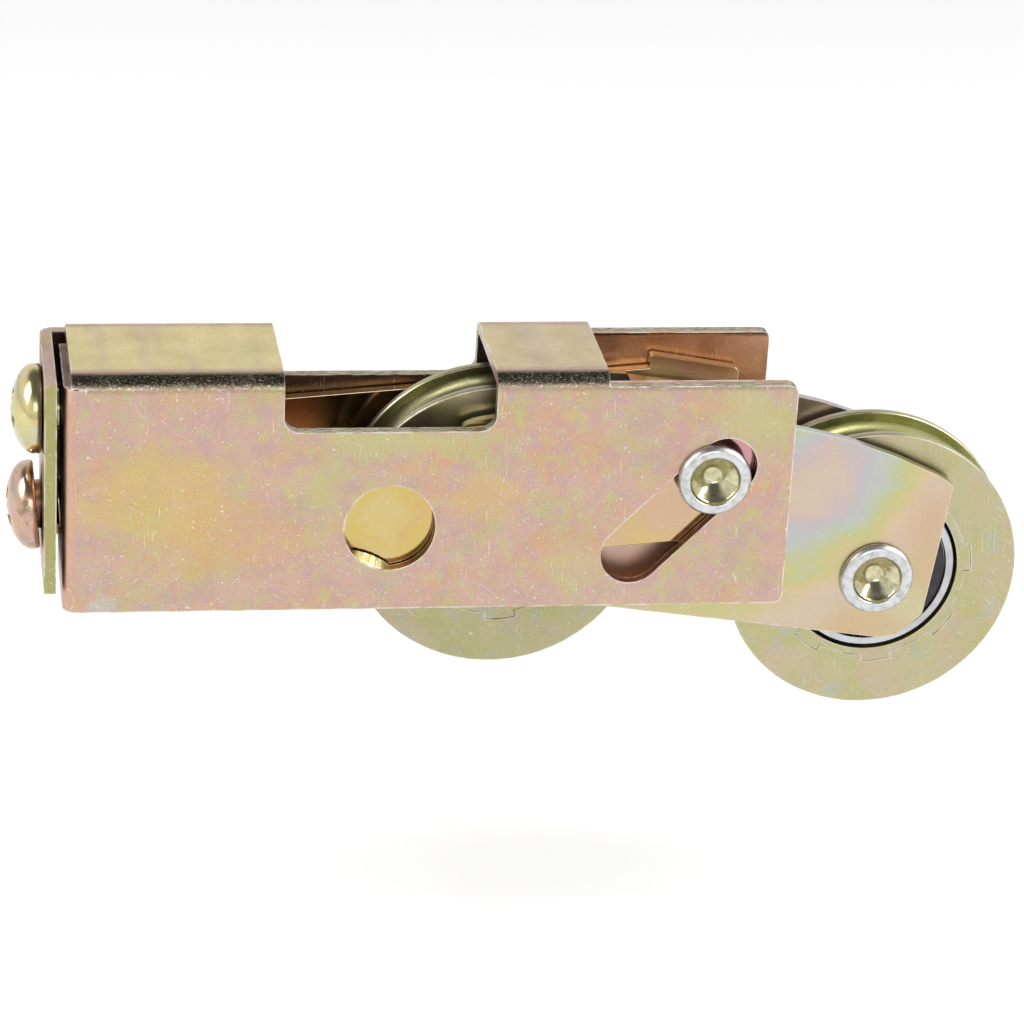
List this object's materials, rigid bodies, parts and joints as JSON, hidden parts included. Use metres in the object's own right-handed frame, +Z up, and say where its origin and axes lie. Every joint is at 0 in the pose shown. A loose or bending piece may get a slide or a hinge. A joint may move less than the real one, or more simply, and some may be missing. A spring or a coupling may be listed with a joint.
{
  "type": "sliding door roller",
  "caption": "Tandem sliding-door roller: notched steel channel, screw-drawn link, pivot rivet in slanted slots and a rocker with grooved ball-bearing wheels.",
  "frame": {"origin": "middle of the longer piece of the housing's top web, on its outer face, which seats in the door's bottom rail", "axes": "+X along the housing away from the screws, +Y across it towards the far wall, +Z up into the door"},
  "size_m": [0.1303, 0.023, 0.0488],
  "materials": {
    "zinc_sheet": "yellow zinc-plated steel sheet with a cloudy iridescent film",
    "zinc_rocker": "smooth yellow zinc-plated steel with pale rainbow bands",
    "zinc_screw": "yellow zinc-plated steel screw, semi-gloss",
    "bright_rivet": "bright rim rubbed through to silver, olive-gold mouth",
    "zinc_wheel": "pale yellow-green satin zinc plating",
    "bearing_steel": "ground bearing steel",
    "cage_steel": "pressed steel, satin",
    "black_seal": "dark rubber seal"
  },
  "bodies": {
    "housing": {"housing": "zinc_sheet", "clamp_screw": "zinc_screw"},
    "pivot": {"pivot_rivet": "bright_rivet"},
    "link": {"adjusting_link": "zinc_rocker", "adjuster_nut": "zinc_screw"},
    "rocker": {"rocker": "zinc_rocker", "rear_axle_rivet": "bright_rivet", "rear_spacer_near": "bearing_steel", "rear_spacer_far": "bearing_steel", "rear_inner_race": "bearing_steel", "front_axle_rivet": "bright_rivet", "front_spacer_near": "bearing_steel", "front_spacer_far": "bearing_steel", "front_inner_race": "bearing_steel"},
    "rear_wheel": {"rear_wheel": "zinc_wheel", "rear_bearing_cup": "zinc_rocker", "rear_outer_race": "bearing_steel", "rear_seal_near": "black_seal", "rear_seal_far": "black_seal"},
    "rear_balls": {"rear_ball_cage": "cage_steel", "rear_ball_1": "bearing_steel", "rear_ball_2": "bearing_steel", "rear_ball_3": "bearing_steel", "rear_ball_4": "bearing_steel", "rear_ball_5": "bearing_steel", "rear_ball_6": "bearing_steel", "rear_ball_7": "bearing_steel"},
    "front_wheel": {"front_wheel": "zinc_wheel", "front_bearing_cup": "zinc_rocker", "front_outer_race": "bearing_steel", "front_seal_near": "black_seal", "front_seal_far": "black_seal"},
    "front_balls": {"front_ball_cage": "cage_steel", "front_ball_1": "bearing_steel", "front_ball_2": "bearing_steel", "front_ball_3": "bearing_steel", "front_ball_4": "bearing_steel", "front_ball_5": "bearing_steel", "front_ball_6": "bearing_steel", "front_ball_7": "bearing_steel"},
    "retainer": {"screw_retainer": "bearing_steel"},
    "adjusting_screw": {"adjusting_screw": "zinc_screw"}
  },
  "joints": [
    {"name": "height_adjust", "type": "slide", "parent": "housing", "child": "pivot", "axis": [-0.6947, 0, -0.7193], "range_m": [-0.0016, 0.0142]},
    {"name": "link_swing", "type": "hinge", "parent": "pivot", "child": "link", "pos_m": [0.0676, 0, -0.0141], "axis": [0, 1, 0], "range_deg": [-1, 7.3]},
    {"name": "rocker_tilt", "type": "hinge", "parent": "pivot", "child": "rocker", "pos_m": [0.0676, 0, -0.0141], "axis": [0, 1, 0], "range_deg": [-16, 1.6]},
    {"name": "rear_wheel_spin", "type": "hinge", "parent": "rocker", "child": "rear_wheel", "pos_m": [0.04114, 0, -0.0229], "axis": [0, 1, 0], "continuous": true},
    {"name": "rear_ball_run", "type": "hinge", "parent": "rocker", "child": "rear_balls", "pos_m": [0.04114, 0, -0.0229], "axis": [0, 1, 0], "continuous": true},
    {"name": "front_wheel_spin", "type": "hinge", "parent": "rocker", "child": "front_wheel", "pos_m": [0.09066, 0, -0.02977], "axis": [0, 1, 0], "continuous": true},
    {"name": "front_ball_run", "type": "hinge", "parent": "rocker", "child": "front_balls", "pos_m": [0.09066, 0, -0.02977], "axis": [0, 1, 0], "continuous": true},
    {"name": "screw_tip", "type": "hinge", "parent": "housing", "child": "retainer", "pos_m": [-0.01692, 0, -0.02102], "axis": [0, 1, 0], "range_deg": [-1, 7.3]},
    {"name": "screw_turn", "type": "hinge", "parent": "retainer", "child": "adjusting_screw", "pos_m": [-0.01692, 0, -0.02102], "axis": [0.9967, 0, 0.0817], "range_deg": [-335, 2880]}
  ],
  "couplings": [
    {"joint": "link_swing", "follows": "height_adjust", "rad_per_m": 8.7266},
    {"joint": "screw_tip", "follows": "height_adjust", "rad_per_m": 8.7266},
    {"joint": "screw_turn", "follows": "height_adjust", "rad_per_m": 3513},
    {"joint": "rear_ball_run", "follows": "rear_wheel_spin", "ratio": 0.6323},
    {"joint": "front_ball_run", "follows": "front_wheel_spin", "ratio": 0.6323}
  ]
}
